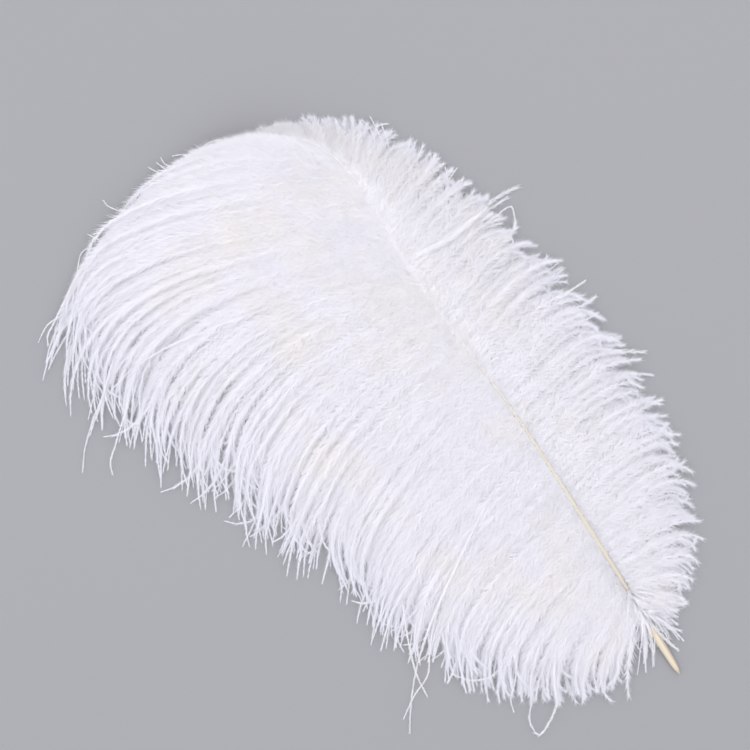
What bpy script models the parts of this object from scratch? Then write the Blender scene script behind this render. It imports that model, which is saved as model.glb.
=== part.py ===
"""White ostrich plume, lying on a flat surface with its arched back up.

One grown piece: a tapered shaft with a bare quill, and on each side of it a vane of
locks. Units are metres and degrees. +X runs from the quill's end to the shaft's tip,
+Y is the side of the wide vane, +Z is up, and z = 0 is the surface the plume lies on.
The origin is the middle of the plume's bounding box, at that surface.
"""

import math

import bpy
import bmesh
import numpy as np

# ---- shaft -------------------------------------------------------------------
SHAFT_LENGTH = 0.726
BARE_QUILL = 0.115  # share of the shaft below the first barbs
# Heading of the shaft in plan, measured from the chord between its ends.
SHAFT_HEADING = ((0, -11), (0.35, -9.5), (0.5, -6), (0.62, -9), (0.74, -12.5), (0.82, 8), (0.9, 48), (1, 72))
SHAFT_HEIGHT = (
    (0, 0.0022), (0.03, 0.0028), (0.07, 0.0045), (0.115, 0.0095), (0.2, 0.021), (0.35, 0.036),
    (0.55, 0.045), (0.75, 0.041), (0.9, 0.025), (1, 0.008),
)
SHAFT_RADIUS = (
    (0, 0.0010), (0.008, 0.0024), (0.03, 0.0034), (0.115, 0.0036), (0.2, 0.0032),
    (0.3, 0.0024), (0.4, 0.0018), (0.5, 0.0013), (0.7, 0.0010), (1, 0.0007),
)
SHAFT_POINTS = 36
QUILL_END = (0, 0.008, 0.03, 0.06)  # closer points, where the quill's end rounds off
PLAN_STEPS = 400

# ---- vanes: each value is given along the shaft, from 0 at the quill to 1 at the tip
# leave: angle between the shaft's forward direction and a barb's first stretch
# reach: length of a barb
# droop: how far a barb has turned towards DROOP_HEADING at its end, from 0 to 1
# delay: how late along itself it turns
DROOP_HEADING = 131.5
WIDE_VANE = {
    "side": 1,
    "leave": (
        (0.115, 128), (0.14, 108), (0.2, 97), (0.35, 97), (0.5, 90), (0.6, 73.5), (0.66, 68),
        (0.7, 69.5), (0.76, 61.5), (0.82, 41.5), (0.88, 14.5), (0.93, -1), (1, 3),
    ),
    "reach": (
        (0.115, 0.082), (0.14, 0.122), (0.2, 0.172), (0.35, 0.235), (0.5, 0.265), (0.6, 0.305),
        (0.67, 0.355), (0.7, 0.366), (0.74, 0.356), (0.79, 0.296), (0.85, 0.198), (0.9, 0.13), (1, 0.05),
    ),
    "droop": (
        (0.115, 0.95), (0.2, 0.85), (0.35, 0.8), (0.5, 0.86), (0.58, 0.98), (0.64, 1), (0.73, 0.97),
        (0.8, 0.74), (0.88, 0.47), (1, 0.4),
    ),
    "delay": (
        (0.115, 1), (0.2, 1.3), (0.5, 1.35), (0.6, 1.45), (0.66, 2.1), (0.72, 3), (0.77, 2.7),
        (0.82, 1.8), (0.88, 1.5), (1, 1.3),
    ),
}
NARROW_VANE = {
    "side": -1,
    "leave": (
        (0.115, 130), (0.14, 98), (0.2, 82), (0.35, 77), (0.5, 74), (0.65, 68), (0.8, 48),
        (0.84, 33), (0.88, 10), (0.92, 5), (0.96, 2), (1, -3),
    ),
    "reach": (
        (0.115, 0.042), (0.14, 0.07), (0.2, 0.104), (0.35, 0.125), (0.5, 0.122), (0.62, 0.105),
        (0.72, 0.078), (0.8, 0.048), (0.84, 0.036), (0.88, 0.042), (0.92, 0.065), (0.96, 0.07), (1, 0.05),
    ),
    "droop": ((0.115, 0.5), (0.5, 0.5), (0.8, 0.35), (0.88, 0.4), (0.94, 0.9), (1, 1)),
    "delay": ((0.115, 1.5), (0.65, 1.6), (0.8, 1.9), (0.9, 1.45), (0.94, 1.3), (1, 1.15)),
}

# ---- locks -------------------------------------------------------------------
WIDE_LOCKS = 42
NARROW_LOCKS = 27
LAST_LOCK = 0.955
LOCK_POINTS = 9
STEPS_PER_POINT = 5
LOCK_WIDTH = 0.026
LOCK_THICKNESS = 0.0036
LOCK_SWELL = ((0, 0.5), (0.12, 0.85), (0.45, 1), (0.7, 0.95), (0.88, 0.6), (1, 0.1))
RIDGE_SHARE = 0.62  # share of a lock's thickness that is above its edges
SHORT_LOCK_WIDTH = 0.55  # share of the width that a lock of no length would have
WIDTH_PER_REACH = 4  # gain of that share per metre of length, up to 1
LOCK_ROLL = 9  # tips each lock over its neighbour, as barbs overlap
LOCK_BOW = 0.014  # rise of a lock above the straight line from the shaft to its end
FULL_BOW_REACH = 0.13  # shorter locks rise less, in proportion
LOCK_LIES_FROM = 0.86  # share of a lock's length from which it lies on the surface
FALL_POWER = 1.15
BOW_PEAK = 0.7  # below 1, it moves the top of the bow towards the shaft
LOCK_END_HEIGHTS = (0.0005, 0.0035, 0.0018, 0.006)  # in turn, because lock ends lie over one another
# Each lock differs a little from the next: size of the change, and its step per lock.
LENGTH_WAVE = (0.03, 2.4)
BOW_WAVE = (0.5, 3.7)
SWING_WAVE = (1.1, 1.9)

# Single narrow locks that stand out from the vanes: side, position, leave, reach, droop, delay.
STRAY_LOCKS = (
    (-1, 0.651, 83.5, 0.132, 0.17, 1.6),
    (1, 0.373, 101.5, 0.311, 1.06, 0.83),
    (1, 0.65, 67, 0.394, 0.973, 2.07),
)
STRAY_WIDTH = 0.0075

# ---- joining -----------------------------------------------------------------
CAP_WELD = 0.00001
SLIVER = 0.000002  # points closer than this are merged
SURFACE_BLOCK = (2, 2, 0.1)

# From the quill's end to the middle of the finished plume's bounding box, in plan.
ORIGIN_FROM_QUILL = (0.34793, 0.04109)


def along(position, knots):
    """Smooth value at a position between knots of (position, value)."""
    at = np.array([knot[0] for knot in knots], float)
    values = np.array([knot[1] for knot in knots], float)
    slopes = np.gradient(values, at)
    i = int(np.clip(np.searchsorted(at, position, side="right") - 1, 0, len(at) - 2))
    span = at[i + 1] - at[i]
    u = min(max((position - at[i]) / span, 0.0), 1.0)
    return float(
        (2 * u**3 - 3 * u**2 + 1) * values[i]
        + (u**3 - 2 * u**2 + u) * span * slopes[i]
        + (3 * u**2 - 2 * u**3) * values[i + 1]
        + (u**3 - u**2) * span * slopes[i + 1]
    )


def unit(heading):
    return np.array([math.cos(heading), math.sin(heading)])


def shaft_plan():
    """Plan points along the shaft, starting at the quill's end, with the chord along +X."""
    points = [np.zeros(2)]
    for step in range(PLAN_STEPS):
        heading = math.radians(along((step + 0.5) / PLAN_STEPS, SHAFT_HEADING))
        points.append(points[-1] + unit(heading) * SHAFT_LENGTH / PLAN_STEPS)
    points = np.array(points)
    chord = math.atan2(points[-1][1], points[-1][0])
    turn = np.array([unit(chord), unit(chord + math.pi / 2)])
    return points @ turn.T - np.array(ORIGIN_FROM_QUILL)


SHAFT_PLAN = shaft_plan()


def shaft_point(position):
    """Point on the shaft's middle line and its heading in plan, in radians."""
    last = len(SHAFT_PLAN) - 1
    place = min(max(position, 0.0), 1.0) * last
    i = min(int(place), last - 1)
    start, end = SHAFT_PLAN[i], SHAFT_PLAN[i + 1]
    plan = start + (end - start) * (place - i)
    heading = math.atan2(end[1] - start[1], end[0] - start[0])
    return np.array([plan[0], plan[1], along(position, SHAFT_HEIGHT)]), heading


def lock_path(position, vane, length=1.0, bow=1.0, swing=0.0, end_height=0.0):
    """Points of a lock's middle line, from inside the shaft to where its tip lies down."""
    start, heading = shaft_point(position)
    first = unit(heading + vane["side"] * math.radians(along(position, vane["leave"]) + swing))
    last = unit(math.radians(DROOP_HEADING))
    droop, delay = along(position, vane["droop"]), along(position, vane["delay"])
    steps = (LOCK_POINTS - 1) * STEPS_PER_POINT
    reach = along(position, vane["reach"])
    stride = reach * length / steps
    rise = LOCK_BOW * bow * min(1.0, reach / FULL_BOW_REACH)
    plan = start[:2]
    points = [start]
    for step in range(steps):
        turned = droop * ((step + 0.5) / steps) ** delay
        way = (1 - turned) * first + turned * last
        plan = plan + way / np.linalg.norm(way) * stride
        if (step + 1) % STEPS_PER_POINT == 0:
            lift = max(0.0, 1 - (step + 1) / steps / LOCK_LIES_FROM)
            height = end_height + (start[2] - end_height) * lift**FALL_POWER
            height += rise * math.sin(math.pi * (1 - lift) ** BOW_PEAK) * math.sqrt(lift)
            points.append(np.array([plan[0], plan[1], height]))
    return points


def clear_scene():
    for obj in list(bpy.data.objects):
        bpy.data.objects.remove(obj, do_unlink=True)


def collection(name, parent):
    group = bpy.data.collections.new(name)
    parent.children.link(group)
    return group


def hide(obj):
    obj.hide_render = True
    obj.display_type = "WIRE"
    return obj


def curve_object(name, points, radii, group, section=None, roll=0.0):
    """A curve through points, round or with a section curve, scaled by a radius at each point."""
    curve = bpy.data.curves.new(name, "CURVE")
    curve.dimensions = "3D"
    curve.twist_mode = "Z_UP"
    curve.use_fill_caps = True
    if section:
        curve.bevel_mode = "OBJECT"
        curve.bevel_object = section
    else:
        curve.bevel_depth = 1.0
        curve.bevel_resolution = 1
    spline = curve.splines.new("POLY")
    spline.points.add(len(points) - 1)
    for spot, point, radius in zip(spline.points, points, radii):
        spot.co = (*point, 1.0)
        spot.radius = radius
        spot.tilt = roll
    obj = bpy.data.objects.new(name, curve)
    group.objects.link(obj)
    return obj


def section_curve(group):
    """A lock's section: a flat kite with a ridge on top, one metre wide before scaling."""
    thickness = LOCK_THICKNESS / LOCK_WIDTH
    corners = ((-0.5, 0), (0, RIDGE_SHARE * thickness), (0.5, 0), (0, (RIDGE_SHARE - 1) * thickness))
    curve = bpy.data.curves.new("lock_section", "CURVE")
    curve.dimensions = "2D"
    spline = curve.splines.new("POLY")
    spline.points.add(len(corners) - 1)
    for spot, (x, y) in zip(spline.points, corners):
        spot.co = (x, y, 0, 1)
    spline.use_cyclic_u = True
    obj = bpy.data.objects.new("lock_section", curve)
    group.objects.link(obj)
    return hide(obj)


def as_mesh(obj, group):
    """Turns a curve object into a hidden, closed mesh object with welded caps."""
    graph = bpy.context.evaluated_depsgraph_get()
    mesh = bpy.data.meshes.new_from_object(obj.evaluated_get(graph))
    work = bmesh.new()
    work.from_mesh(mesh)
    bmesh.ops.remove_doubles(work, verts=work.verts, dist=CAP_WELD)
    bmesh.ops.recalc_face_normals(work, faces=work.faces)
    work.to_mesh(mesh)
    work.free()
    name = obj.name
    bpy.data.objects.remove(obj, do_unlink=True)
    made = bpy.data.objects.new(name, mesh)
    group.objects.link(made)
    return hide(made)


def white_barb():
    material = bpy.data.materials.new("white_barb")
    material.use_nodes = True
    shader = material.node_tree.nodes["Principled BSDF"]
    shader.inputs["Base Color"].default_value = (0.86, 0.86, 0.88, 1)
    shader.inputs["Roughness"].default_value = 0.85
    shader.inputs["Metallic"].default_value = 0.0
    return material


def even_positions(vane, count, samples=160):
    """Places along the shaft that keep the roots, middles and tips of the locks evenly apart."""
    positions = np.linspace(BARE_QUILL, LAST_LOCK, samples)
    paths = np.array([lock_path(position, vane) for position in positions])[..., :2]
    apart = sum(
        np.linalg.norm(np.diff(paths[:, k], axis=0), axis=1) for k in (0, LOCK_POINTS // 2, -1)
    )
    travelled = np.concatenate([[0], np.cumsum(apart)])
    return np.interp((np.arange(count) + 0.5) / count * travelled[-1], travelled, positions)


def wave(i, size_and_step, shift=0.0):
    size, step = size_and_step
    return size * math.sin(i * step + shift)


def lock_curve(name, points, width, side, group, section):
    radii = [width * along(k / (LOCK_POINTS - 1), LOCK_SWELL) for k in range(LOCK_POINTS)]
    return curve_object(name, points, radii, group, section, math.radians(LOCK_ROLL * side))


def make_locks(vane, count, prefix, group, section):
    curves = []
    for i, position in enumerate(even_positions(vane, count)):
        points = lock_path(
            position,
            vane,
            length=1 + wave(i, LENGTH_WAVE),
            bow=1 + wave(i, BOW_WAVE, vane["side"]),
            swing=wave(i, SWING_WAVE, 0.5),
            end_height=LOCK_END_HEIGHTS[i % len(LOCK_END_HEIGHTS)],
        )
        width = LOCK_WIDTH * min(1.0, SHORT_LOCK_WIDTH + WIDTH_PER_REACH * along(position, vane["reach"]))
        curves.append(lock_curve(f"{prefix}_{i + 1:02d}", points, width, vane["side"], group, section))
    bpy.context.view_layer.update()
    for curve in curves:
        as_mesh(curve, group)


def make_strays(group, section):
    names = ("leave", "reach", "droop", "delay")
    curves = []
    for i, (side, position, *values) in enumerate(STRAY_LOCKS):
        same = {name: ((0, value), (1, value)) for name, value in zip(names, values)}
        points = lock_path(position, {"side": side, **same}, end_height=LOCK_END_HEIGHTS[0])
        curves.append(lock_curve(f"stray_lock_{i + 1:02d}", points, STRAY_WIDTH, side, group, section))
    bpy.context.view_layer.update()
    for curve in curves:
        as_mesh(curve, group)


def make_shaft(group):
    rest = np.linspace(QUILL_END[-1], 1, SHAFT_POINTS - len(QUILL_END) + 1)[1:]
    positions = [*QUILL_END, *rest]
    points = [shaft_point(position)[0] for position in positions]
    radii = [along(position, SHAFT_RADIUS) for position in positions]
    obj = curve_object("bare_shaft", points, radii, group)
    bpy.context.view_layer.update()
    return as_mesh(obj, group)


def keep_outer_shell(mesh):
    """Drops the small closed shells inside the largest one: sealed pockets where locks cross."""
    work = bmesh.new()
    work.from_mesh(mesh)
    bmesh.ops.triangulate(work, faces=work.faces)
    bmesh.ops.dissolve_degenerate(work, dist=SLIVER, edges=work.edges)
    bmesh.ops.remove_doubles(work, verts=work.verts, dist=SLIVER)
    unseen = set(work.faces)
    shells = []
    while unseen:
        shell, front = [], [unseen.pop()]
        while front:
            face = front.pop()
            shell.append(face)
            joined = [edge for edge in face.edges if len(edge.link_faces) == 2]
            beside = {other for edge in joined for other in edge.link_faces} & unseen
            unseen -= beside
            front.extend(beside)
        shells.append(shell)
    shells.sort(key=len)
    pockets = [face for shell in shells[:-1] for face in shell]
    bmesh.ops.delete(work, geom=pockets, context="FACES")
    work.to_mesh(mesh)
    work.free()


def make_floor(group):
    """The block below the surface, which cuts a flat rest into what reaches down to it."""
    bpy.ops.mesh.primitive_cube_add(size=1, location=(0, 0, -SURFACE_BLOCK[2] / 2))
    block = bpy.context.object
    block.name = "surface_below"
    block.scale = SURFACE_BLOCK
    for holder in list(block.users_collection):
        holder.objects.unlink(block)
    group.objects.link(block)
    return hide(block)


def main():
    clear_scene()
    scene = bpy.context.scene.collection
    parts = collection("ostrich_feather", scene)
    helpers = collection("helpers", scene)
    locks = collection("locks", helpers)
    section = section_curve(helpers)
    make_locks(WIDE_VANE, WIDE_LOCKS, "wide_lock", locks, section)
    make_locks(NARROW_VANE, NARROW_LOCKS, "narrow_lock", locks, section)
    make_strays(locks, section)
    shaft = make_shaft(helpers)
    union = shaft.modifiers.new("grow_locks", "BOOLEAN")
    union.operation = "UNION"
    union.operand_type = "COLLECTION"
    union.collection = locks
    union.solver = "EXACT"
    cut = shaft.modifiers.new("rest_flat", "BOOLEAN")
    cut.operation = "DIFFERENCE"
    cut.object = make_floor(helpers)
    cut.solver = "EXACT"
    bpy.context.view_layer.update()
    graph = bpy.context.evaluated_depsgraph_get()
    mesh = bpy.data.meshes.new_from_object(shaft.evaluated_get(graph))
    keep_outer_shell(mesh)
    mesh.materials.clear()
    mesh.materials.append(white_barb())
    feather = bpy.data.objects.new("feather", mesh)
    parts.objects.link(feather)


main()
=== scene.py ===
"""Looks of the white ostrich plume, lying on a pale floor and seen from above.

Every barb is mesh: a thin stalk with soft barbules on both sides. The barbs follow the
same shaft and the same vanes as the CAD part, whose numbers are repeated below.
Units are metres and degrees, in the part's own frame.
"""

import math

import bpy
import numpy as np
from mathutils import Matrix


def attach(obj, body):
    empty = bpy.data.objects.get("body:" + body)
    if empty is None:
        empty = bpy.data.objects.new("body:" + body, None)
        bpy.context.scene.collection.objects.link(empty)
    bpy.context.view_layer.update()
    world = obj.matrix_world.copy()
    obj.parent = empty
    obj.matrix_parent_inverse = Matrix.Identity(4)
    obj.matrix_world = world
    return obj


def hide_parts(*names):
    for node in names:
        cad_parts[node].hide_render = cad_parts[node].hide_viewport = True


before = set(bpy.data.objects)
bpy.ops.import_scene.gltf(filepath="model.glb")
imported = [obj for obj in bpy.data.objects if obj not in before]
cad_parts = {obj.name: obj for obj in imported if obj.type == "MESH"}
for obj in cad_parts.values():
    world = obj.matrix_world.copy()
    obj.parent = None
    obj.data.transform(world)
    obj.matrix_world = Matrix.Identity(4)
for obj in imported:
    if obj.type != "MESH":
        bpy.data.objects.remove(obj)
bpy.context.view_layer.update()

rng = np.random.default_rng(2718)

# ---- the CAD part's shaft and vanes --------------------------------------------
SHAFT_LENGTH = 0.726
BARE_QUILL = 0.115
SHAFT_HEADING = (
    (0, -11), (0.35, -9.5), (0.5, -6), (0.62, -9), (0.74, -12.5), (0.82, 8), (0.9, 48), (1, 72),
)
SHAFT_HEIGHT = (
    (0, 0.0022), (0.03, 0.0028), (0.07, 0.0045), (0.115, 0.0095), (0.2, 0.021), (0.35, 0.036),
    (0.55, 0.045), (0.75, 0.041), (0.9, 0.025), (1, 0.008),
)
SHAFT_RADIUS = (
    (0, 0.0010), (0.008, 0.0024), (0.03, 0.0034), (0.115, 0.0036), (0.2, 0.0032),
    (0.3, 0.0024), (0.4, 0.0018), (0.5, 0.0013), (0.7, 0.0010), (1, 0.0007),
)
PLAN_STEPS = 400
ORIGIN_FROM_QUILL = (0.34793, 0.04109)
DROOP_HEADING = 131.5
WIDE_VANE = {
    "side": 1,
    "leave": (
        (0.115, 128), (0.14, 108), (0.2, 97), (0.35, 97), (0.5, 90), (0.6, 73.5), (0.66, 68),
        (0.7, 69.5), (0.76, 61.5), (0.82, 41.5), (0.88, 14.5), (0.93, -1), (1, 3),
    ),
    "reach": (
        (0.115, 0.082), (0.14, 0.122), (0.2, 0.172), (0.35, 0.235), (0.5, 0.265), (0.6, 0.305),
        (0.67, 0.355), (0.7, 0.366), (0.74, 0.356), (0.79, 0.296), (0.85, 0.198), (0.9, 0.13), (1, 0.05),
    ),
    "droop": (
        (0.115, 0.95), (0.2, 0.85), (0.35, 0.8), (0.5, 0.86), (0.58, 0.98), (0.64, 1), (0.73, 0.97),
        (0.8, 0.74), (0.88, 0.47), (1, 0.4),
    ),
    "delay": (
        (0.115, 1), (0.2, 1.3), (0.5, 1.35), (0.6, 1.45), (0.66, 2.1), (0.72, 3), (0.77, 2.7),
        (0.82, 1.8), (0.88, 1.5), (1, 1.3),
    ),
}
NARROW_VANE = {
    "side": -1,
    "leave": (
        (0.115, 130), (0.14, 98), (0.2, 82), (0.35, 77), (0.5, 74), (0.65, 68), (0.8, 48),
        (0.84, 33), (0.88, 10), (0.92, 5), (0.96, 2), (1, -3),
    ),
    "reach": (
        (0.115, 0.042), (0.14, 0.07), (0.2, 0.104), (0.35, 0.125), (0.5, 0.122), (0.62, 0.105),
        (0.72, 0.078), (0.8, 0.048), (0.84, 0.036), (0.88, 0.042), (0.92, 0.065), (0.96, 0.07), (1, 0.05),
    ),
    "droop": ((0.115, 0.5), (0.5, 0.5), (0.8, 0.35), (0.88, 0.4), (0.94, 0.9), (1, 1)),
    "delay": ((0.115, 1.5), (0.65, 1.6), (0.8, 1.9), (0.9, 1.45), (0.94, 1.3), (1, 1.15)),
}
BARB_BOW = 0.014  # how far a barb bows up above its fall to the floor
FULL_BOW_REACH = 0.13  # the reach from which it has all of this bow
LIES_FROM = 0.86  # the share of a barb beyond which it lies down
FALL_POWER = 1.15
BOW_PEAK = 0.7

# ---- barbs and barbules ----------------------------------------------------------
WIDE_BARBS = 610
NARROW_BARBS = 370
COVER_BARBS = 340
JUNCTION_BARBS = 175
FIRST_BARB = 0.97  # as a share of BARE_QUILL
LAST_BARB = 0.995
WIDE_SEGMENTS = 22
NARROW_SEGMENTS = 14
COVER_SEGMENTS = 8
LOOSE_SEGMENTS = 18
FLOOR_CLEARANCE = 0.0003

# Radii of the stalks at the shaft and at the tip.
STALK_RADIUS = (0.00023, 0.00011)
COVER_STALK_RADIUS = (0.00014, 0.00008)
LOOSE_STALK_RADIUS = (0.00028, 0.00018)
# How far up the shaft's side the barbs leave it, in shaft radii, and the length that they rise over.
ROOT_LIFT = ((0.115, 0.5), (0.25, 0.52), (0.45, 0.76), (0.6, 0.76), (0.8, 0))
ROOT_RISE = 0.03

# Spacing and width of the barbules: before FINE_FROM, a share of the barb, beyond it,
# in the extra fluff beside the shaft, and on the loose barbs.
FINE_FROM = 0.8
CLOSE = (0.00032, 0.0006)
FINE = (0.00021, 0.00034)
ROOT_CLOSE = (0.0002, 0.0006)
LOOSE_CLOSE = (0.00028, 0.0004)
ROOT_FLUFF = 0.008  # the stretch of a barb beside the shaft with this extra fluff
ROOT_BARBULE = 0.0042
ROOT_ANGLE = 70
BARE_FOOT = 0.75  # the stretch of a barb without barbules, in shaft radii
DOWNY_BARBULE = 0.0065  # at the tips of the barbs near the quill
DOWNY_ANGLE = 30
COVER_BARBULE = 0.0085
COVER_ANGLE = 38
LOOSE_ANGLE = 24
LENGTH_SPREAD = (0.7, 1.2)  # of one barbule, as shares of its length
ANGLE_SPREAD = (0.4, 1.6)
FORWARD_BEND = 0.45  # of a barbule's outer half, towards the barb's tip
OUTER_SPREAD = 0.3
OUTER_FALL = 0.12
FACE_SPREAD = 0.25

# Bends along the barbs, in radians.
STREAM_WAVES = ((0.025, 17, 3, 1), (0.008, 61, -5, 2.1))  # strength, phase by place, share and side
BROAD_WAVE = 0.018
BROAD_TURNS = (0.6, 1.5)
RIPPLE = 0.06
RIPPLE_LENGTH = (0.045, 0.09)
DRIFTING_CURL = 0.2
DRIFT_EVERY = 8
CURL_RISE = (0.66, 1.4)  # the share of a barb where its curl starts, and the power it grows with
WILD_CURL = 1.0
WILD_SHARE = 0.3  # the share of the barbs that also have a wild curl
WILD_RISE = (0.78, 1.3)
INWARD_FROM = 0.68  # the place on the shaft beyond which wild curls only turn inwards
INWARD_CURL = 0.7
GATHERED_FROM = 0.78

# How the barbs of a vane differ: in place, length, bow, end height and swing from their
# common angle. Lengths and bows are shares of the vane's own.
PLACE_SPREAD = 0.0008
BARB_LENGTHS = (0.82, 1.08)
BARB_BOWS = (0.82, 1.15)
END_HEIGHTS = (0.0006, 0.008)
SWING_SPREAD = 0.65  # for barbs up to STEADY_REACH, and less for longer ones
STEADY_REACH = 0.2
QUILL_SWING_SPREAD = 8  # added at the start of NEAR_QUILL, and fading over it
NEAR_QUILL = (0.118, 0.19)

# Where a vane's barbules change along the shaft and along a barb.
DOWNY = (0.14, 0.32)  # the stretch of the shaft where the barbs' tips turn from downy to plain
DOWNY_TIP = (0.6, 1.0)  # the shares of a barb between which it turns downy
THIN_ROOT = (0.6, 0.02)  # a barbule's length beside the shaft, as a share, and where it is whole
FLUFF_FADES = (0.68, 0.8)  # where the fluff beside the shaft narrows to FLUFF_LEFT of its stretch
FLUFF_LEFT = 0.15

# How thickly short barbs close over the top of the shaft.
COVER_DENSITY = ((0.118, 0.7), (0.4, 0.6), (0.55, 1), (0.7, 1), (0.77, 0.3), (0.79, 0))
COVER_LENGTH = (0.02, 0.045)
COVER_SWING = -34  # degrees from the vane's own barbs, beside the bare part of the shaft
CROSSING_SWING = 28  # added where they cross over it
CROSSING = (0.42, 0.6)  # the stretch of the shaft where they begin to
CROSSING_SPREAD = 0.03
COVER_SWING_SPREAD = 8
COVER_BOWS = (0.5, 1.1)
COVER_OVERHANG = 0.0025  # how far beyond the shaft's far side a crossing barb starts
COVER_SHIFT = 0.4  # of the shaft's radius, for the others, towards their own side
COVER_ABOVE = 0.0008  # how far above the shaft a crossing barb starts
COVER_FALL = 0.002

# Barbs of the part's stray locks: side, position, leave, reach, droop, delay, half width.
STRAY_BARBS = (
    (-1, 0.651, 83.5, 0.132, 0.17, 1.6, 0.0028),
    (-1, 0.640, 82.0, 0.118, 0.20, 1.6, 0.0022),
    (1, 0.373, 101.5, 0.311, 1.06, 0.83, 0.0013),
    (1, 0.650, 67.0, 0.394, 0.973, 2.07, 0.0012),
)
# Loose barbs that stand out from the vanes: the half width in metres of each, and the pixels
# of the photograph that it passes through from root to tip.
LOOSE_BARBS = (
    (0.0011, (462, 252), (478, 230), (497, 215), (512, 205), (517, 222)),
    (0.0011, (480, 262), (500, 236), (513, 238), (516, 252)),
    (0.0010, (510, 300), (540, 275), (552, 268), (560, 262)),
    (0.0016, (540, 310), (565, 295), (578, 286), (587, 280)),
    (0.0013, (556, 338), (580, 322), (592, 317), (600, 312)),
    (0.0024, (580, 366), (610, 352), (630, 351), (647, 352)),
    (0.0018, (594, 388), (622, 378), (640, 374), (655, 375)),
    (0.0012, (570, 345), (588, 332), (600, 336), (603, 350)),
    (0.0012, (402, 600), (410, 650), (418, 680), (428, 700)),
    (0.0011, (440, 600), (430, 650), (428, 678), (415, 698), (404, 722)),
    (0.0014, (556, 640), (556, 690), (558, 703), (552, 722), (540, 738), (531, 725), (533, 706)),
    (0.0011, (520, 640), (515, 690), (512, 702), (515, 715)),
    (0.0012, (505, 650), (497, 675), (475, 683), (453, 677)),
    (0.0010, (112, 360), (95, 410), (90, 420), (88, 430)),
    (0.0011, (128, 400), (112, 450), (108, 463), (110, 475)),
    (0.0012, (72, 280), (50, 325), (45, 335), (45, 345)),
    (0.0008, (60, 315), (45, 325), (40, 332), (35, 342)),
    (0.0007, (104, 266), (88, 247), (80, 251), (76, 262), (75, 272)),
    (0.0006, (105, 242), (93, 237), (85, 233)),
    (0.0008, (135, 215), (113, 208), (105, 204), (101, 199)),
    (0.0008, (172, 180), (160, 173), (147, 166)),
    (0.0008, (178, 174), (163, 167), (155, 161)),
    (0.0008, (184, 170), (170, 166), (163, 162), (159, 156)),
    (0.0007, (198, 160), (182, 153), (171, 154)),
    (0.0008, (262, 142), (230, 139), (218, 138), (205, 142), (197, 151)),
    (0.0010, (300, 142), (290, 128), (279, 122), (268, 124)),
    (0.0007, (318, 140), (312, 128), (304, 123), (298, 124)),
    (0.0007, (376, 142), (370, 126), (362, 117)),
    (0.0007, (384, 146), (379, 132), (370, 114)),
    (0.0007, (390, 150), (386, 134), (381, 121)),
    (0.0008, (446, 200), (449, 184), (446, 165)),
    (0.0007, (444, 196), (450, 178), (458, 166)),
    (0.0011, (370, 150), (374, 132), (378, 124), (388, 121)),
    (0.0010, (395, 170), (404, 152), (413, 146)),
    (0.0013, (626, 577), (640, 585), (658, 597), (680, 609)),
    (0.0012, (630, 576), (643, 583), (662, 592), (684, 600)),
)
# The downy barbs where the vanes begin: the stretch of the shaft that they grow from, the fan
# that they point in, in degrees from the photograph's downward direction, their shortest
# length, their longest at both ends of that fan, and their half widths.
JUNCTION = (0.1, 0.138)
JUNCTION_FAN = (-34, 58)
JUNCTION_SHORTEST = 0.024
JUNCTION_LONGEST = (0.075, 0.05)
JUNCTION_HALF_WIDTHS = (0.0007, 0.0012, 0.0019)
JUNCTION_BEND = 0.6
JUNCTION_TURN = (0.9, 0.3)  # how far they turn near their roots, and where in the fan they don't
JUNCTION_RISE = (0.003, 0.012)  # above the shaft
JUNCTION_ENDS = (0.001, 0.005)  # heights of their ends
LOOSE_STARTS = (0.008, 0.014)  # heights of the loose barbs' roots and ends
LOOSE_ENDS = (0.002, 0.006)
LOOSE_BARBULE = 2.6  # the length of their barbules, in half widths

# ---- shaft -----------------------------------------------------------------------
# Places round the shaft are shares of a turn from its narrow side, through its top.
TOP_TURN = 0.25
GROOVE_TURN = 0.14
GROOVE_WIDTH = 0.028
GROOVE_DEPTH = 0.13
SHAFT_RINGS = 170
SHAFT_SIDES = 28
SHAFT_FLATNESS = 0.9
QUILL_RINGS = (0, 0.0015, 0.004, 0.008, 0.014, 0.02)
QUILL_ROUNDING = (0.55, 0.8, 0.95)  # of the radius at the first of them

# ---- UV map ----------------------------------------------------------------------
# The part of its strip that a barb uses: along it, and to both sides of its middle.
UV_MAP = "OFBake"
UV_START = 0.01
UV_LENGTH = 0.97
UV_HALF_WIDTH = 0.47

# ---- camera and lights -----------------------------------------------------------
PHOTO_SIZE = 750
METRES_PER_PIXEL = 0.00095
PHOTO_TURN = math.radians(132.755)  # of the part's +X in the picture
QUILL_PIXEL = (683, 677)
LENS = 85
VIEW_HEIGHT = 0.02  # the height that is in true scale
# The pixel of the photograph that each light is above, its height, size, power and colour.
LIGHTS = {
    "key": ((900, -300), 1.7, 2.2, 12.5, (1.0, 0.985, 0.97)),
    "fill": ((-300, 500), 1.5, 2.0, 8, (0.95, 0.97, 1.0)),
}
SKY_COLOUR = (0.94, 0.95, 1.0, 1)
SKY_STRENGTH = 1.34
FLOOR_HALF_SIZE = 6


def smooth_along(position, knots):
    """Smooth values at positions between knots of (position, value)."""
    at, values = np.array(knots, float).T
    slopes = np.gradient(values, at)
    position = np.clip(position, at[0], at[-1])
    i = np.clip(np.searchsorted(at, position, side="right") - 1, 0, len(at) - 2)
    span = at[i + 1] - at[i]
    u = (position - at[i]) / span
    return (
        (2 * u**3 - 3 * u**2 + 1) * values[i]
        + (u**3 - 2 * u**2 + u) * span * slopes[i]
        + (3 * u**2 - 2 * u**3) * values[i + 1]
        + (u**3 - u**2) * span * slopes[i + 1]
    )


def smoothstep(x, low, high):
    t = np.clip((x - low) / (high - low), 0, 1)
    return t * t * (3 - 2 * t)


def heading_vector(angle):
    return np.stack([np.cos(angle), np.sin(angle)], -1)


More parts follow.
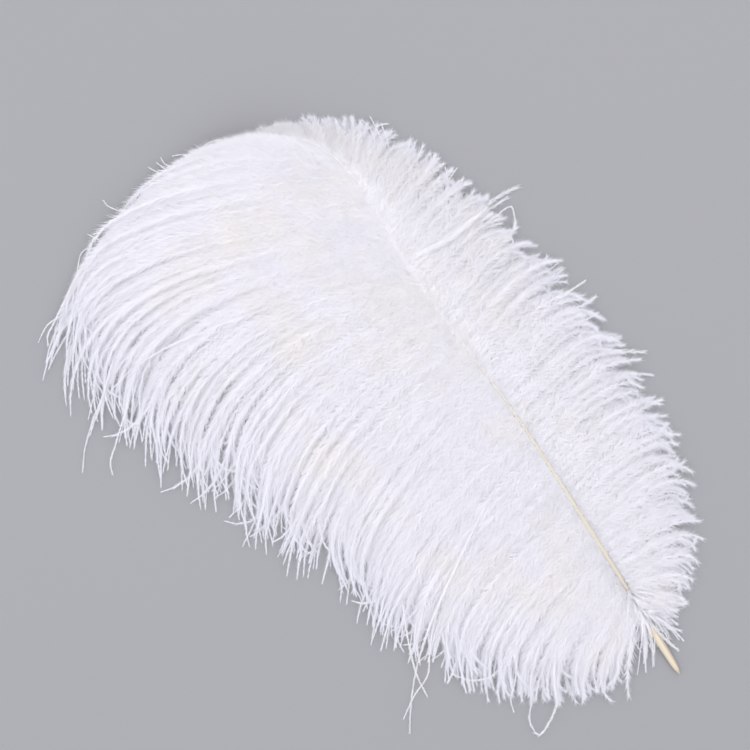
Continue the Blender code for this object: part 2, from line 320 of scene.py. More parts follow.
def normalised(v):
    return v / np.maximum(np.linalg.norm(v, axis=-1, keepdims=True), 1e-12)


def shaft_plan():
    middles = (np.arange(PLAN_STEPS) + 0.5) / PLAN_STEPS
    run = heading_vector(np.radians(smooth_along(middles, SHAFT_HEADING))) * SHAFT_LENGTH / PLAN_STEPS
    plan = np.vstack([[0, 0], np.cumsum(run, axis=0)])
    chord = math.atan2(plan[-1, 1], plan[-1, 0])
    turn = np.array([heading_vector(chord), heading_vector(chord + math.pi / 2)])
    return plan @ turn.T - np.array(ORIGIN_FROM_QUILL)


SHAFT_PLAN = shaft_plan()


def shaft_at(position):
    """Points on the shaft's middle line, and its headings in plan in radians."""
    at = np.linspace(0, 1, PLAN_STEPS + 1)
    x = np.interp(position, at, SHAFT_PLAN[:, 0])
    y = np.interp(position, at, SHAFT_PLAN[:, 1])
    z = smooth_along(position, SHAFT_HEIGHT)
    steps = np.diff(SHAFT_PLAN, axis=0)
    heading = np.interp(position, (at[1:] + at[:-1]) / 2, np.arctan2(steps[:, 1], steps[:, 0]))
    return np.stack([x, y, z], -1), heading


def from_photo(u, v):
    """Plan position of a pixel of the photograph."""
    across = (u - QUILL_PIXEL[0]) * METRES_PER_PIXEL
    up = (QUILL_PIXEL[1] - v) * METRES_PER_PIXEL
    x = across * math.cos(PHOTO_TURN) + up * math.sin(PHOTO_TURN) - ORIGIN_FROM_QUILL[0]
    y = -across * math.sin(PHOTO_TURN) + up * math.cos(PHOTO_TURN) - ORIGIN_FROM_QUILL[1]
    return x, y


# ---- barb paths --------------------------------------------------------------------


def barb_paths(vane, position, segments, length=1.0, bow=1.0, swing=0.0, end_height=0.002, bend=0.0):
    """Points of many barbs, from the shaft's middle to their tips: barbs x points x 3."""
    start, heading = shaft_at(position)
    leave = np.radians(smooth_along(position, vane["leave"]) + swing)
    first = heading_vector(heading + vane["side"] * leave)
    last = heading_vector(math.radians(DROOP_HEADING))
    droop = smooth_along(position, vane["droop"])[:, None]
    delay = smooth_along(position, vane["delay"])[:, None]
    middles = (np.arange(segments) + 0.5) / segments
    turned = (droop * middles**delay)[..., None]
    way = (1 - turned) * first[:, None] + turned * last
    angle = np.arctan2(way[..., 1], way[..., 0]) + bend
    stride = (smooth_along(position, vane["reach"]) * length / segments)[:, None, None]
    plan = start[:, None, :2] + np.cumsum(heading_vector(angle) * stride, axis=1)
    plan = np.concatenate([start[:, None, :2], plan], axis=1)
    share = np.arange(segments + 1) / segments
    lift = np.maximum(0, 1 - share / LIES_FROM)[None]
    low = np.broadcast_to(end_height, position.shape)[:, None]
    high = (bow * np.minimum(1, smooth_along(position, vane["reach"]) / FULL_BOW_REACH))[:, None]
    height = low + (start[:, 2:] - low) * lift**FALL_POWER
    height = height + BARB_BOW * high * np.sin(math.pi * (1 - lift) ** BOW_PEAK) * np.sqrt(lift)
    return np.concatenate([plan, height[..., None]], axis=2)


def even_positions(vane, count, first=BARE_QUILL, last=LAST_BARB, samples=300):
    """Places along the shaft that keep the roots, middles and tips of the barbs evenly apart."""
    positions = np.linspace(first, last, samples)
    paths = barb_paths(vane, positions, 20)
    apart = sum(np.linalg.norm(np.diff(paths[:, k, :2], axis=0), axis=1) for k in (0, 10, 20))
    travelled = np.concatenate([[0], np.cumsum(apart)])
    return np.interp((np.arange(count) + 0.5) / count * travelled[-1], travelled, positions)


def streams(position, middles, side):
    """Bends that neighbouring barbs share, so that they run in soft waves."""
    p, s = position[:, None], middles[None]
    return s * sum(strength * np.sin(a * p + b * s + c * side) for strength, a, b, c in STREAM_WAVES)


def gathered(paths, clump_size, pull):
    """Draws the outer ends of neighbouring barbs together into tufts."""
    count, points = paths.shape[:2]
    share = np.arange(points) / (points - 1)
    made = paths.copy()
    i = 0
    while i < count:
        size = int(rng.integers(*clump_size))
        members = slice(i, min(i + size, count))
        middle = paths[members].mean(axis=0)
        strength = rng.uniform(*pull) * smoothstep(share, GATHERED_FROM, 1.0)
        made[members] += (middle - paths[members]) * strength[None, :, None]
        i += size
    return made


def drifting(count, every):
    """Random values that neighbouring barbs share, with a new one every few barbs."""
    values = rng.normal(0, 1, count // every + 2)
    at = np.arange(count) / every
    i = at.astype(int)
    share = smoothstep(at % 1, 0, 1)
    return (values[i] * (1 - share) + values[i + 1] * share)[:, None]


def waves(count, along, strength):
    """Bends of one sine wave for each barb, with its own strength and start."""
    heights = rng.normal(0, strength, (count, 1))
    return heights * np.sin(2 * math.pi * (along + rng.uniform(0, 1, (count, 1))))


def rising(share, start, power):
    """From 0 up to the start to 1 at the tip."""
    return np.clip((share - start) / (1 - start), 0, 1) ** power


def vane_barbs(vane, count, segments, clump_size, pull, turn_in, hook, vary):
    """Places on the shaft and paths of a vane's barbs.

    turn_in is the curl that all of their ends share, hook how much it differs from barb to
    barb, and vary how much their lengths do.
    """
    position = even_positions(vane, count)
    position = np.clip(position + rng.normal(0, PLACE_SPREAD, count), BARE_QUILL * FIRST_BARB, 1.0)
    reach = smooth_along(position, vane["reach"])[:, None]
    middles = (np.arange(segments) + 0.5) / segments
    broad = waves(count, middles * rng.uniform(*BROAD_TURNS, (count, 1)), BROAD_WAVE) * middles
    ripples = waves(count, middles * reach / rng.uniform(*RIPPLE_LENGTH, (count, 1)), RIPPLE)
    shared_curl = turn_in + DRIFTING_CURL * drifting(count, DRIFT_EVERY) + rng.normal(0, hook, (count, 1))
    wild_curl = (rng.uniform(0, 1, (count, 1)) < WILD_SHARE) * rng.normal(0, WILD_CURL, (count, 1))
    wild_curl = np.where(position[:, None] > INWARD_FROM, INWARD_CURL * np.abs(wild_curl), wild_curl)
    curled = shared_curl * rising(middles, *CURL_RISE) + wild_curl * rising(middles, *WILD_RISE)
    steady = np.minimum(1, STEADY_REACH / reach[:, 0])
    near_quill = 1 - smoothstep(position, *NEAR_QUILL)
    paths = barb_paths(
        vane,
        position,
        segments,
        length=np.clip(rng.normal(1 - vary / 3, vary, count), *BARB_LENGTHS),
        bow=rng.uniform(*BARB_BOWS, count),
        swing=rng.normal(0, 1, count) * (SWING_SPREAD * steady + QUILL_SWING_SPREAD * near_quill),
        end_height=rng.uniform(*END_HEIGHTS, count),
        bend=streams(position, middles, vane["side"]) + broad + ripples + curled,
    )
    paths = gathered(paths, clump_size, pull)
    from_shaft = np.arange(segments + 1) / segments * reach
    lift = smooth_along(position, ROOT_LIFT) * smooth_along(position, SHAFT_RADIUS)
    paths[..., 2] += lift[:, None] * (1 - smoothstep(from_shaft, 0.0, ROOT_RISE))
    paths[..., 2] = np.maximum(paths[..., 2], FLOOR_CLEARANCE + STALK_RADIUS[0])
    return position, paths


# ---- mesh --------------------------------------------------------------------------


def frames_along(paths):
    """Unit tangent, sideways and upward directions at each point of each path."""
    steps = np.diff(paths, axis=1)
    tangent = np.concatenate([steps[:, :1], steps[:, 1:] + steps[:, :-1], steps[:, -1:]], axis=1)
    tangent = normalised(tangent)
    side = normalised(np.cross([0.0, 0.0, 1.0], tangent))
    return tangent, side, np.cross(tangent, side)


def stalk_mesh(paths, radius):
    """Three-sided tubes along the paths: points, normals, triangles, and (u, v) with v from -1 to 1."""
    count, points = paths.shape[:2]
    _, side, up = frames_along(paths)
    share = np.arange(points) / (points - 1)
    width = (radius[0] + (radius[1] - radius[0]) * share)[None, :, None, None]
    corner = np.radians([90, 210, 330])
    ring = np.cos(corner)[:, None] * side[:, :, None] + np.sin(corner)[:, None] * up[:, :, None]
    spots = (paths[:, :, None] + ring * width).reshape(-1, 3)
    base = (np.arange(count)[:, None, None] * points + np.arange(points - 1)[None, :, None]) * 3
    here = base + np.arange(3)
    beside = base + (np.arange(3) + 1) % 3
    triangles = np.stack(
        [np.stack([here, beside, beside + 3], -1), np.stack([here, beside + 3, here + 3], -1)], -2
    ).reshape(-1, 3)
    u = np.broadcast_to(share[None, :, None], (count, points, 3))
    v = np.broadcast_to(np.array([0.05, -0.05, 0.1]), (count, points, 3))
    barb = np.broadcast_to(np.arange(count)[:, None, None], (count, points, 3))
    facing = np.broadcast_to(normalised(0.5 * ring + up[:, :, None]), (count, points, 3, 3)).reshape(-1, 3)
    return spots, facing, triangles, u.reshape(-1), v.reshape(-1), barb.reshape(-1)


def barbule_mesh(paths, span, length_at, angle_at, size, bent=False, lean=0.6):
    """Soft slivers on both sides of each path: straight ones, or ones that bend in their middles.

    span is the first and the last share of each path that has them. length_at and angle_at
    give a barbule's length and its angle from the stalk, in radians, from its barb and share.
    size is their spacing and width, and lean how far they roll out of the barb's plane.
    """
    count, points = paths.shape[:2]
    tangent, side, up = frames_along(paths)
    lengths = np.linalg.norm(np.diff(paths, axis=1), axis=2).sum(axis=1)
    first_share, last_share = (np.broadcast_to(share, count) for share in span)
    usable = np.maximum(last_share - first_share, 0.01)
    number = np.maximum((usable * lengths / size[0]).astype(int), 4)
    barb = np.repeat(np.arange(count), number)
    within = np.arange(len(barb)) - np.repeat(np.cumsum(number) - number, number)
    share = first_share[barb] + (within + rng.uniform(0, 1, len(barb))) / number[barb] * usable[barb]
    place = np.clip(share, 0, 0.9999) * (points - 1)
    i, f = place.astype(int), (place % 1)[:, None]

    def at(values):
        return values[barb, i] * (1 - f) + values[barb, i + 1] * f

    root, along, across, above = at(paths), at(tangent), at(side), at(up)
    long = length_at(barb, share) * rng.uniform(*LENGTH_SPREAD, len(barb))
    angle = angle_at(barb, share) * rng.uniform(*ANGLE_SPREAD, len(barb))
    sign = np.where(within % 2 == 0, 1.0, -1.0)
    roll = rng.normal(0, lean, len(barb))
    out = (sign * np.cos(roll))[:, None] * across + np.sin(roll)[:, None] * above
    first = np.cos(angle)[:, None] * along + np.sin(angle)[:, None] * out
    scatter = rng.normal(0, OUTER_SPREAD, (len(barb), 3))
    second = normalised(first + FORWARD_BEND * along + scatter - [0, 0, OUTER_FALL])
    middle = root + first * (long / 2)[:, None]
    tip = middle + second * (long / 2)[:, None]
    face = rng.normal(0, FACE_SPREAD, (len(barb), 3)) + [0, 0, 1]
    wide = normalised(np.cross(face, first)) * size[1] / 2
    if bent:
        corners, turns = (root, middle - wide, middle + wide, tip), ((0, 1, 2), (1, 3, 2))
        u_steps, v_steps = (0, 0.006, 0, 0.01), (0, 0.5, 0.5, 0.9)
    else:
        corners, turns = (root - wide, root + wide, tip), ((0, 2, 1),)
        u_steps, v_steps = (0, 0.006, 0.01), (0, 0.1, 0.9)
    spots = np.stack(corners, axis=1)
    spots[..., 2] = np.maximum(spots[..., 2], FLOOR_CLEARANCE)
    each = len(corners)
    facing = np.repeat(normalised(above + 0.1 * out + 0.2 * face), each, axis=0)
    triangles = (np.arange(len(barb))[:, None, None] * each + np.array(turns)).reshape(-1, 3)
    u = share[:, None] + np.array(u_steps)
    v = sign[:, None] * np.array(v_steps)
    return spots.reshape(-1, 3), facing, triangles, u.reshape(-1), v.reshape(-1), np.repeat(barb, each)


def mesh_piece(name, parts, barbs, material):
    """One object from (points, normals, triangles, u, v, barb) parts.

    Each barb has its own strip of the UV map. The normals are soft ones, and the
    triangles are turned to face the same way as them.
    """
    starts = np.cumsum([0] + [len(part[0]) for part in parts])
    triangles = np.concatenate([part[2] + start for part, start in zip(parts, starts)]).astype(np.int32)
    spots, facing, u, v, barb = (np.concatenate([part[i] for part in parts]) for i in (0, 1, 3, 4, 5))
    a, b, c = (spots[triangles[:, i]] for i in range(3))
    turned = (np.cross(b - a, c - a) * facing[triangles].sum(axis=1)).sum(axis=1) < 0
    triangles[turned] = triangles[turned][:, ::-1]
    mesh = bpy.data.meshes.new(name)
    mesh.vertices.add(len(spots))
    mesh.vertices.foreach_set("co", spots.astype(np.float32).ravel())
    mesh.loops.add(triangles.size)
    mesh.loops.foreach_set("vertex_index", triangles.ravel())
    mesh.polygons.add(len(triangles))
    mesh.polygons.foreach_set("loop_start", np.arange(0, triangles.size, 3, dtype=np.int32))
    mesh.polygons.foreach_set("use_smooth", np.ones(len(triangles), bool))
    across = (barb + 0.5 + UV_HALF_WIDTH * v) / barbs
    uv = np.stack([UV_START + UV_LENGTH * u, across], axis=1)[triangles.ravel()]
    layer = mesh.uv_layers.new(name=UV_MAP)
    layer.data.foreach_set("uv", uv.astype(np.float32).ravel())
    mesh.update(calc_edges=True)
    mesh.normals_split_custom_set_from_vertices(facing)
    mesh.materials.append(material)
    piece = bpy.data.objects.new(name, mesh)
    bpy.context.scene.collection.objects.link(piece)
    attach(piece, "root")
    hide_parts("feather")


# ---- materials -----------------------------------------------------------------------


class Nodes:
    """A small helper that adds nodes to one material."""

    def __init__(self, name):
        self.material = bpy.data.materials.new(name)
        self.material.use_nodes = True
        self.tree = self.material.node_tree
        self.tree.nodes.clear()

    def add(self, kind, settings=None, **inputs):
        """Adds a node. Its inputs are given by name, or by number as s0, s1 and so on."""
        node = self.tree.nodes.new(kind)
        for key, value in (settings or {}).items():
            setattr(node, key, value)
        for key, value in inputs.items():
            socket = node.inputs[int(key[1:]) if key[1:].isdigit() else key.replace("_", " ")]
            if isinstance(value, bpy.types.NodeSocket):
                self.tree.links.new(value, socket)
            else:
                socket.default_value = value
        return node

    def blend(self, factor, first, second, mode="MIX"):
        node = self.add("ShaderNodeMix", {"data_type": "RGBA", "blend_type": mode})
        for socket, value in ((node.inputs[0], factor), (node.inputs[6], first), (node.inputs[7], second)):
            if isinstance(value, bpy.types.NodeSocket):
                self.tree.links.new(value, socket)
            else:
                socket.default_value = value
        return node.outputs[2]

    def spread(self, value, low, high, start=0.0, end=1.0):
        """Goes from start to end as the value goes from low to high."""
        node = self.add("ShaderNodeMapRange", Value=value)
        for i, number in enumerate((low, high, start, end)):
            node.inputs[i + 1].default_value = number
        return node.outputs[0]

    def shaded(self, tint, mask, low, high, strength, colour):
        """Multiplies a colour into the tint, more as the mask goes from low to high."""
        return self.blend(self.spread(mask, low, high, 0.0, strength), tint, colour, "MULTIPLY")

    def maths(self, operation, *values):
        inputs = {f"s{i}": value for i, value in enumerate(values)}
        return self.add("ShaderNodeMath", {"operation": operation}, **inputs).outputs[0]

    def output(self, shader):
        self.add("ShaderNodeOutputMaterial", Surface=shader)
        return self.material


def barb_material():
    n = Nodes("white_barb_look")
    place = n.add("ShaderNodeTexCoord").outputs["Object"]
    strip = n.add("ShaderNodeUVMap", {"uv_map": UV_MAP}).outputs["UV"]
    patches = n.add("ShaderNodeTexNoise", Vector=place, Scale=13.0, Detail=4.0, Roughness=0.6)
    fine = n.add("ShaderNodeTexNoise", Vector=place, Scale=75.0, Detail=4.0, Roughness=0.6)
    stretched = n.add("ShaderNodeMapping", Vector=strip, Scale=(5.0, 300.0, 1.0))
    strands = n.add("ShaderNodeTexNoise", Vector=stretched.outputs[0], Scale=1.0, Detail=2.0)
    white, cream, tip_painted_shade = (0.968, 0.957, 0.976, 1), (0.975, 0.955, 0.94, 1), (0.915, 0.918, 0.955, 1)
    cool_grey, warm_grey = (0.6, 0.6, 0.64, 1), (0.6, 0.58, 0.56, 1)
    tint = n.blend(n.spread(patches.outputs["Fac"], 0.5, 0.75), white, cream)
    along = n.add("ShaderNodeSeparateXYZ", Vector=strip).outputs["X"]
    # Painted shade: the outer parts of the barbs are painted a darker, bluer white for the cool shade along
    # the plume's edges.
    tint = n.blend(n.spread(along, 0.62, 1.0, 0.0, 0.8), tint, tip_painted_shade)
    tint = n.shaded(tint, strands.outputs["Fac"], 0.3, 0.7, 0.12, cool_grey)
    tint = n.shaded(tint, fine.outputs["Fac"], 0.4, 0.75, 0.06, warm_grey)
    surface = n.add("ShaderNodeBsdfPrincipled", Base_Color=tint, Roughness=0.75)
    surface.inputs["Specular IOR Level"].default_value = 0.25
    surface.inputs["Sheen Weight"].default_value = 0.25
    surface.inputs["Sheen Roughness"].default_value = 0.5
    through = n.add("ShaderNodeBsdfTranslucent", Color=tint)
    mixed = n.add("ShaderNodeMixShader", s0=0.55, s1=surface.outputs[0], s2=through.outputs[0])
    return n.output(mixed.outputs[0])


def shaft_material():
    n = Nodes("cream_shaft_look")
    strip = n.add("ShaderNodeUVMap", {"uv_map": UV_MAP}).outputs["UV"]
    parts = n.add("ShaderNodeSeparateXYZ", Vector=strip)
    along, around = parts.outputs["X"], parts.outputs["Y"]
    grain_place = n.add("ShaderNodeMapping", Vector=strip, Scale=(14.0, 30.0, 1.0))
    grain = n.add("ShaderNodeTexNoise", Vector=grain_place.outputs[0], Scale=1.0, Detail=5.0, Roughness=0.6)
    horn, cream, pale = (0.58, 0.50, 0.39, 1), (0.56, 0.51, 0.415, 1), (0.74, 0.715, 0.68, 1)
    brown, groove_painted_shade = (0.72, 0.62, 0.52, 1), (0.24, 0.16, 0.1, 1)
    side_painted_light, grey = (0.82, 0.79, 0.73, 1), (0.6, 0.59, 0.585, 1)
    tint = n.blend(n.spread(along, 0.02, 0.11), horn, cream)
    tint = n.blend(n.spread(along, 0.35, 0.75), tint, pale)
    tint = n.shaded(tint, grain.outputs["Fac"], 0.35, 0.75, 0.35, brown)

    def from_turn(turn):
        """How far round the shaft a point is from a place on it, in shares of a turn."""
        place = 0.5 + UV_HALF_WIDTH * (2 * turn - 1)
        return n.maths("ABSOLUTE", n.maths("SUBTRACT", around, place))

    # Painted shade: a dark brown is painted into the groove near the quill, where shade falls in it, fading
    # out along the shaft.
    groove = n.spread(from_turn(GROOVE_TURN), 0.01, 0.036, 1.0, 0.0)
    fading = n.spread(along, 0.125, 0.17, 0.5, 0.0)
    tint = n.blend(n.maths("MULTIPLY", groove, fading), tint, groove_painted_shade)
    # Painted light: the shaft's sides, away from its top, are painted paler to lift the shade that falls on
    # them, fading in from the quill.
    sides = n.spread(from_turn(TOP_TURN), 0.045, 0.12)
    side_light_fade_in = n.spread(along, 0.09, 0.14, 0.0, 0.9)
    tint = n.blend(n.maths("MULTIPLY", sides, side_light_fade_in), tint, side_painted_light)
    tint = n.blend(n.spread(along, 0.66, 0.76), tint, grey)
    bump = n.add("ShaderNodeBump", Height=grain.outputs["Fac"], Strength=0.25, Distance=0.0003)
    surface = n.add("ShaderNodeBsdfPrincipled", Base_Color=tint, Roughness=0.55, Normal=bump.outputs[0])
    surface.inputs["Coat Weight"].default_value = 0.08
    surface.inputs["Coat Roughness"].default_value = 0.35
    return n.output(surface.outputs[0])


def floor_material():
    n = Nodes("pale_floor")
    surface = n.add("ShaderNodeBsdfPrincipled", Base_Color=(0.25, 0.25, 0.26, 1), Roughness=0.85)
    return n.output(surface.outputs[0])


# ---- pieces ----------------------------------------------------------------------------


def make_shaft():
    """The quill and the shaft: a flattened tube with a shallow groove along its upper side."""
    position = np.concatenate([QUILL_RINGS, np.linspace(0.03, 1, SHAFT_RINGS)])
    middle, _ = shaft_at(position)
    along, side, up = (v[0][:, None] for v in frames_along(middle[None]))
    radius = smooth_along(position, SHAFT_RADIUS)
    radius[: len(QUILL_ROUNDING)] *= QUILL_ROUNDING
    turn = np.arange(SHAFT_SIDES) / SHAFT_SIDES
    angle = 2 * math.pi * turn
    gap = np.abs((turn - GROOVE_TURN + 0.5) % 1 - 0.5)
    groove = GROOVE_DEPTH * np.exp(-((gap / GROOVE_WIDTH) ** 2))
    girth = radius[:, None] * (1 - groove * smoothstep(position, 0.03, 0.1)[:, None])
    ring = -np.cos(angle)[:, None] * side + SHAFT_FLATNESS * np.sin(angle)[:, None] * up
    spots = (middle[:, None] + ring * girth[..., None]).reshape(-1, 3)
    spots[:, 2] = np.maximum(spots[:, 2], 0)
    backward = 1.2 * smoothstep(position, 0.012, 0.0)[:, None, None]
    facing = normalised(ring - backward * along).reshape(-1, 3)
    rings = len(position)
    base = np.arange(rings - 1)[:, None] * SHAFT_SIDES
    here = base + np.arange(SHAFT_SIDES)
    beside = base + (np.arange(SHAFT_SIDES) + 1) % SHAFT_SIDES
    triangles = np.stack(
        [
            np.stack([here, here + SHAFT_SIDES, beside + SHAFT_SIDES], -1),
            np.stack([here, beside + SHAFT_SIDES, beside], -1),
        ],
        -2,
    ).reshape(-1, 3)
    caps = []
    for first, flip in ((0, False), ((rings - 1) * SHAFT_SIDES, True)):
        for k in range(1, SHAFT_SIDES - 1):
            corners = (first, first + k, first + k + 1)
            caps.append(corners[::-1] if flip else corners)
    triangles = np.concatenate([triangles, np.array(caps)])
    u = np.repeat(position, SHAFT_SIDES)
    v = np.tile(turn * 2 - 1, rings)
    mesh_piece("shaft", [(spots, facing, triangles, u, v, 0 * u)], 1, shaft_material())


def bare_foot(position, vane):
    """The share of each barb that has no barbules, where it leaves the shaft."""
    return BARE_FOOT * smooth_along(position, SHAFT_RADIUS) / smooth_along(position, vane["reach"])


def cover_barbs():
    """Short barbs beside the shaft's lower half, which cross over its upper half and hide it."""
    at = np.linspace(COVER_DENSITY[0][0], COVER_DENSITY[-1][0], 200)
    grown = np.cumsum(np.interp(at, *np.array(COVER_DENSITY).T))
    paths = []
    count = COVER_BARBS // 2
    share = np.linspace(0, 1, COVER_SEGMENTS + 1)
    steps = 60  # of a whole barb, which is then cut short
    for vane in (WIDE_VANE, NARROW_VANE):
        position = np.interp((np.arange(count) + rng.uniform(0, 1, count)) / count * grown[-1], grown, at)
        reach = smooth_along(position, vane["reach"])
        long = np.minimum(rng.uniform(*COVER_LENGTH, count), reach)
        crossing = smoothstep(position + rng.normal(0, CROSSING_SPREAD, count), *CROSSING)
        swing = COVER_SWING + CROSSING_SWING * crossing + rng.normal(0, COVER_SWING_SPREAD, count)
        own = barb_paths(vane, position, steps, swing=swing, bow=rng.uniform(*COVER_BOWS, count))
        place = share[None] * (long / reach)[:, None] * (steps - 0.01)
        i = place.astype(int)
        row = np.arange(count)[:, None]
        own = own[row, i] + (own[row, i + 1] - own[row, i]) * (place - i)[..., None]
        middle, heading = shaft_at(position)
        radius = smooth_along(position, SHAFT_RADIUS)
        shift = (radius + COVER_OVERHANG) * crossing - COVER_SHIFT * radius * (1 - crossing)
        back = -vane["side"] * heading_vector(heading + math.pi / 2) * shift[:, None]
        own[..., :2] += back[:, None] * (1 - smoothstep(share, 0.0, 0.7))[None, :, None]
        top = (middle[:, 2] + radius + COVER_ABOVE)[:, None] - COVER_FALL * share
        over = np.maximum(own[..., 2], top * (1 - smoothstep(share, 0.3, 1.0)))
        over[:, 0] = middle[:, 2] + 0.8 * radius
        own[..., 2] += (over - own[..., 2]) * crossing[:, None]
        paths.append(own)
    return np.concatenate(paths)


def rounded(corners, points):
    """Points along a smooth curve through the corners."""
    corners = np.array(corners, float)
    run = np.concatenate([[0], np.cumsum(np.linalg.norm(np.diff(corners, axis=0), axis=1))])
    at = np.linspace(0, run[-1], points)
    return np.stack([smooth_along(at, np.stack([run, c], 1)) for c in corners.T], 1)


def make_loose_barbs(material):
    """Single barbs that stand out from the edges, and downy ones where the barbs begin."""
    points = LOOSE_SEGMENTS + 1
    share = np.linspace(0, 1, points)
    paths, half_width = [], []
    for half, *pixels in LOOSE_BARBS:
        plan = rounded([from_photo(u, v) for u, v in pixels], points)
        start = rng.uniform(*LOOSE_STARTS)
        paths.append(np.column_stack([plan, start + (rng.uniform(*LOOSE_ENDS) - start) * share]))
        half_width.append(half)
    for side, position, leave, reach, droop, delay, half in STRAY_BARBS:
        own = {"side": side}
        for name, value in (("leave", leave), ("reach", reach), ("droop", droop), ("delay", delay)):
            own[name] = ((0, value), (1, value))
        bend = rng.normal(0, 0.12) * np.sin(7 * share[1:])
        paths.append(barb_paths(own, np.array([position]), LOOSE_SEGMENTS, bend=bend)[0])
        half_width.append(half)
    middle, _ = shaft_at(rng.uniform(*JUNCTION, JUNCTION_BARBS))
    turned = rng.uniform(0, 1, JUNCTION_BARBS)
    ways = math.radians(-90) - PHOTO_TURN + np.radians(np.interp(turned, (0, 1), JUNCTION_FAN))
    longest = np.interp(turned, (0, 1), JUNCTION_LONGEST)
    most, straight = JUNCTION_TURN
    for k in range(JUNCTION_BARBS):
        angle = ways[k] + rng.normal(0, JUNCTION_BEND) * (share[1:] - 0.4)
        angle = angle + most * (turned[k] - straight) * (1 - share[1:])
        long = rng.uniform(JUNCTION_SHORTEST, longest[k])
        steps = heading_vector(angle) * long / LOOSE_SEGMENTS
        plan = middle[k, :2] + np.concatenate([[[0, 0]], np.cumsum(steps, axis=0)])
        over = middle[k, 2] + rng.uniform(*JUNCTION_RISE) * np.sin(math.pi * np.minimum(share * 1.6, 1))
        height = over * (1 - share**1.6) + rng.uniform(*JUNCTION_ENDS) * share**1.6
        paths.append(np.column_stack([plan, height]))
        half_width.append(rng.choice(JUNCTION_HALF_WIDTHS))
    paths, half_width = np.array(paths), np.array(half_width)
    paths[..., 2] = np.maximum(paths[..., 2], FLOOR_CLEARANCE + STALK_RADIUS[0])

    def length_at(barb, share):
        return half_width[barb] * LOOSE_BARBULE * smooth_along(share, ((0, 1), (0.7, 1), (1, 0.75)))

    def angle_at(barb, share):
        return np.full(len(barb), math.radians(LOOSE_ANGLE))

    barbules = barbule_mesh(paths, (0.04, 1.0), length_at, angle_at, LOOSE_CLOSE, bent=True)
    stalks = stalk_mesh(paths, LOOSE_STALK_RADIUS)
    mesh_piece("loose_barbs", [stalks, barbules], len(paths), material)


def make_cover(material):
    paths = cover_barbs()

    def length_at(barb, share):
        return COVER_BARBULE * smooth_along(share, ((0, 0.95), (0.3, 1), (1, 0.8)))

    def angle_at(barb, share):
        return np.full(len(barb), math.radians(COVER_ANGLE))

    barbules = barbule_mesh(paths, (0.01, 1.0), length_at, angle_at, CLOSE, lean=0.35)
    stalks = stalk_mesh(paths, COVER_STALK_RADIUS)
    mesh_piece("cover_barbs", [stalks, barbules], len(paths), material)


def make_vane(name, vane, pieces, lengths, angles, material, **shape):
    """A vane in pieces. lengths and angles are those of its barbules, by share of the barb."""
    position, paths = vane_barbs(vane, **shape)
    for k, members in enumerate(np.array_split(np.arange(len(position)), pieces)):
        own, where = paths[members], position[members]
        downy = 1 - smoothstep(where, *DOWNY)

        def length_at(barb, share):
            thin, whole_at = THIN_ROOT
            from_shaft = smoothstep(share * smooth_along(where[barb], vane["reach"]), 0.0, whole_at)
            tip = downy[barb] * smoothstep(share, *DOWNY_TIP)
            long = smooth_along(share, lengths) * (1 - tip) + DOWNY_BARBULE * tip
            return long * (thin + (1 - thin) * from_shaft)

        def angle_at(barb, share):
            tip = downy[barb] * smoothstep(share, *DOWNY_TIP)
            return np.radians(smooth_along(share, angles) * (1 - tip) + DOWNY_ANGLE * tip)

        def root_length_at(barb, share):
            return np.full(len(barb), ROOT_BARBULE)

        def root_angle_at(barb, share):
            return np.full(len(barb), math.radians(ROOT_ANGLE))

        foot = bare_foot(where, vane)
        fluffed = ROOT_FLUFF * (1 - (1 - FLUFF_LEFT) * smoothstep(where, *FLUFF_FADES))
        root_span = (foot, foot + fluffed / smooth_along(where, vane["reach"]))
        parts = [
            stalk_mesh(own, STALK_RADIUS),
            barbule_mesh(own, root_span, root_length_at, root_angle_at, ROOT_CLOSE, lean=0.45),
            barbule_mesh(own, (foot, FINE_FROM), length_at, angle_at, CLOSE),
            barbule_mesh(own, (FINE_FROM, 1.0), length_at, angle_at, FINE),
        ]
        mesh_piece(f"{name}_{k + 1}", parts, len(members), material)


def make_camera():
    x, y = from_photo(PHOTO_SIZE / 2, PHOTO_SIZE / 2)
    data = bpy.data.cameras.new("camera")
    data.lens = LENS
    away = PHOTO_SIZE * METRES_PER_PIXEL * LENS / data.sensor_width
    camera = bpy.data.objects.new("camera", data)
    camera.location = (x, y, VIEW_HEIGHT + away)
    camera.rotation_euler = (0, 0, -PHOTO_TURN)
    bpy.context.scene.collection.objects.link(camera)
    bpy.context.scene.camera = camera


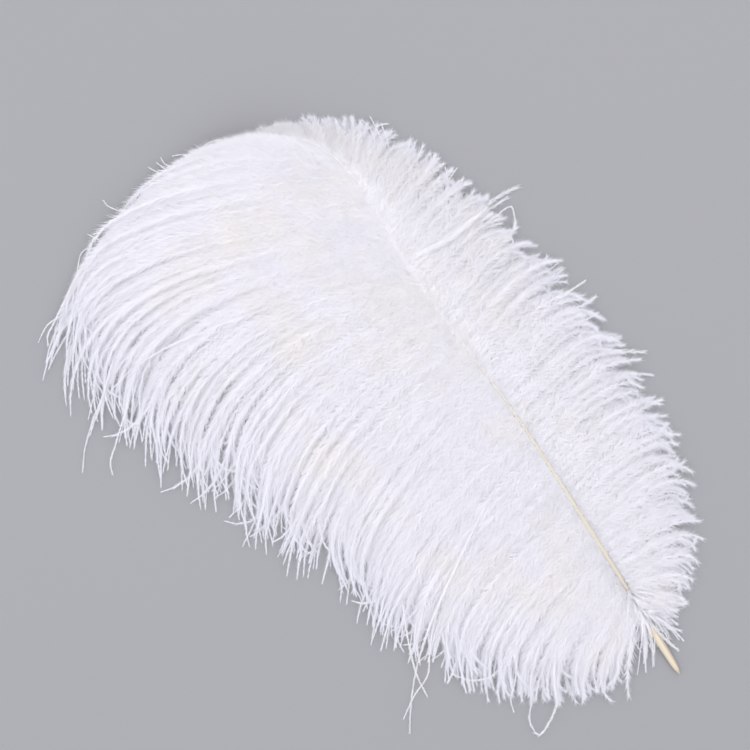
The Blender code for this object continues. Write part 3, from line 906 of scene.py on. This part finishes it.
def make_light(name, pixel, height, size, power, colour):
    """A square area light above a pixel of the photograph, facing the plume's middle."""
    data = bpy.data.lights.new(name, "AREA")
    data.shape = "SQUARE"
    data.size = size
    data.energy = power
    data.color = colour
    light = bpy.data.objects.new(name, data)
    light.location = (*from_photo(*pixel), height)
    aim = light.location.copy()
    aim.negate()
    light.rotation_euler = aim.to_track_quat("-Z", "Y").to_euler()
    bpy.context.scene.collection.objects.link(light)


def make_stage():
    floor = bpy.data.meshes.new("floor")
    far = FLOOR_HALF_SIZE
    floor.from_pydata([(-far, -far, 0), (far, -far, 0), (far, far, 0), (-far, far, 0)], [], [(0, 1, 2, 3)])
    floor.materials.append(floor_material())
    piece = bpy.data.objects.new("floor", floor)
    bpy.context.scene.collection.objects.link(piece)
    world = bpy.context.scene.world or bpy.data.worlds.new("world")
    bpy.context.scene.world = world
    world.use_nodes = True
    sky = world.node_tree.nodes["Background"]
    sky.inputs["Color"].default_value = SKY_COLOUR
    sky.inputs["Strength"].default_value = SKY_STRENGTH
    for name, light in LIGHTS.items():
        make_light(name, *light)
    bpy.context.scene.view_settings.view_transform = "Standard"


make_camera()
make_stage()
make_shaft()
white = barb_material()
make_vane(
    "wide_barbs",
    WIDE_VANE,
    pieces=5,
    lengths=((0, 0.010), (0.15, 0.0125), (0.62, 0.0125), (0.8, 0.011), (0.91, 0.0066), (1, 0.0034)),
    angles=((0, 46), (0.5, 34), (0.82, 27), (0.92, 18), (1, 11)),
    material=white,
    count=WIDE_BARBS,
    segments=WIDE_SEGMENTS,
    clump_size=(3, 7),
    pull=(0.0, 0.28),
    turn_in=0.3,
    hook=0.2,
    vary=0.035,
)
make_vane(
    "narrow_barbs",
    NARROW_VANE,
    pieces=1,
    lengths=((0, 0.008), (0.3, 0.0115), (0.7, 0.011), (0.9, 0.008), (1, 0.005)),
    angles=((0, 48), (0.5, 44), (0.9, 38), (1, 28)),
    material=white,
    count=NARROW_BARBS,
    segments=NARROW_SEGMENTS,
    clump_size=(2, 7),
    pull=(0.0, 0.5),
    turn_in=0.0,
    hook=0.6,
    vary=0.08,
)
make_cover(white)
make_loose_barbs(white)
